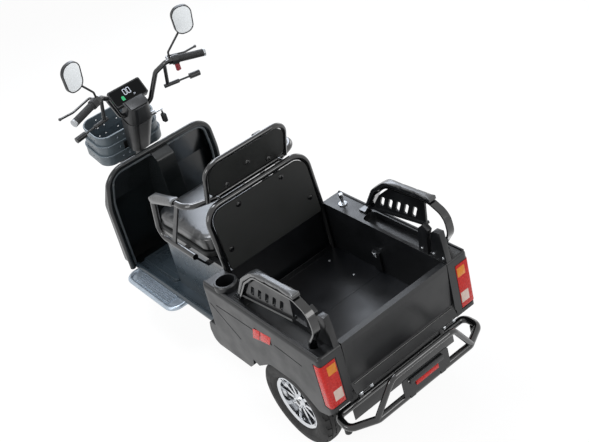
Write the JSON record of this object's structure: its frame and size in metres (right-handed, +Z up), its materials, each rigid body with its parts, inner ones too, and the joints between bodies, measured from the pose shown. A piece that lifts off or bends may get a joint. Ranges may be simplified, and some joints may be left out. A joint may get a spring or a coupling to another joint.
{
  "type": "electric tricycle",
  "caption": "Low open electric tricycle with a leg shield, a driver's seat with armrests and backrest, and an open cargo box with a drop tailgate.",
  "frame": {"origin": "on the ground under the middle of the bounding box, on the centre plane", "axes": "+X to the rider's left, -Y forward, +Z up"},
  "size_m": [0.7, 2.1514, 1.3367],
  "materials": {
    "black_plastic": "satin moulded black plastic",
    "black_steel": "black powder coat",
    "box_steel": "black painted sheet steel",
    "vinyl": "black grained vinyl",
    "board": "matt black board",
    "tyre_rubber": "matt black rubber",
    "alloy": "bright cast alloy",
    "soft_rubber": "matt black rubber",
    "tread": "dark grey ribbed plastic",
    "lamp_red": "clear red lens",
    "mirror_glass": "flat mirror",
    "dash_glass": "glossy black display",
    "silver": "plated steel",
    "battery_case": "battery case",
    "axle_steel": "black painted castings",
    "basket_grey": "dark grey moulded basket"
  },
  "bodies": {
    "chassis": {"chassis_frame": "black_steel", "floor_pan": "black_plastic", "leg_shield": "black_plastic", "floor_mat": "soft_rubber", "footrests": "tread", "seat_base": "black_plastic", "battery": "battery_case", "seat_frame": "black_steel", "armrest_tube": "black_steel", "armrest_posts": "black_steel", "armrest_pads": "vinyl", "back_frame_lower": "black_steel", "back_board_lower": "board", "back_pad_lower": "vinyl", "back_frame_upper": "black_steel", "back_board_upper": "board", "back_pad_upper": "vinyl", "cargo_floor": "box_steel", "cargo_front_wall": "box_steel", "side_shell_left": "black_plastic", "side_shell_right": "black_plastic", "skirts": "black_plastic", "tail_lamps": "lamp_red", "side_reflectors": "lamp_red", "cup_holder": "black_plastic", "ledge_lock": "silver", "rear_armrest_straps": "black_steel", "rear_armrest_vents": "black_plastic", "rear_armrest_pads": "vinyl", "rear_axle": "axle_steel", "bumper": "black_steel", "plate_holder": "black_steel", "tailgate_hinges": "black_steel"},
    "tailgate": {"tailgate": "box_steel"},
    "seat": {"seat_pan": "board", "seat_cushion": "vinyl"},
    "rear_left_wheel": {"rear_left_tyre": "tyre_rubber", "rear_left_rim": "alloy"},
    "rear_right_wheel": {"rear_right_tyre": "tyre_rubber", "rear_right_rim": "alloy"},
    "front_wheel": {"front_tyre": "tyre_rubber", "front_rim": "alloy"},
    "steering": {"fork": "black_steel", "handlebar": "black_steel", "grips": "soft_rubber", "switch_pods": "black_plastic", "brake_levers": "black_steel", "mirrors": "black_plastic", "mirror_glass": "mirror_glass", "dash": "dash_glass", "stem_cover": "black_plastic", "column_shroud": "black_plastic", "basket": "basket_grey", "basket_stay": "black_steel", "front_fender": "black_plastic", "headlamp": "black_plastic", "turn_signals": "black_plastic", "ignition_key": "silver", "key_fob": "soft_rubber"}
  },
  "joints": [
    {"name": "steering_turn", "type": "hinge", "parent": "chassis", "child": "steering", "pos_m": [0, -0.57728, 0.94], "axis": [0, 0.4226, 0.9063], "range_deg": [-38, 38]},
    {"name": "front_wheel_spin", "type": "hinge", "parent": "steering", "child": "front_wheel", "pos_m": [0, -0.89072, 0.185], "axis": [1, 0, 0], "continuous": true},
    {"name": "rear_left_wheel_spin", "type": "hinge", "parent": "chassis", "child": "rear_left_wheel", "pos_m": [0.276, 0.64772, 0.185], "axis": [1, 0, 0], "continuous": true},
    {"name": "rear_right_wheel_spin", "type": "hinge", "parent": "chassis", "child": "rear_right_wheel", "pos_m": [-0.276, 0.64772, 0.185], "axis": [1, 0, 0], "continuous": true},
    {"name": "tailgate_drop", "type": "hinge", "parent": "chassis", "child": "tailgate", "pos_m": [0, 0.97772, 0.384], "axis": [-1, 0, 0], "range_deg": [0, 42]},
    {"name": "seat_lift", "type": "hinge", "parent": "chassis", "child": "seat", "pos_m": [0, -0.30128, 0.523], "axis": [1, 0, 0], "range_deg": [0, 65]}
  ]
}
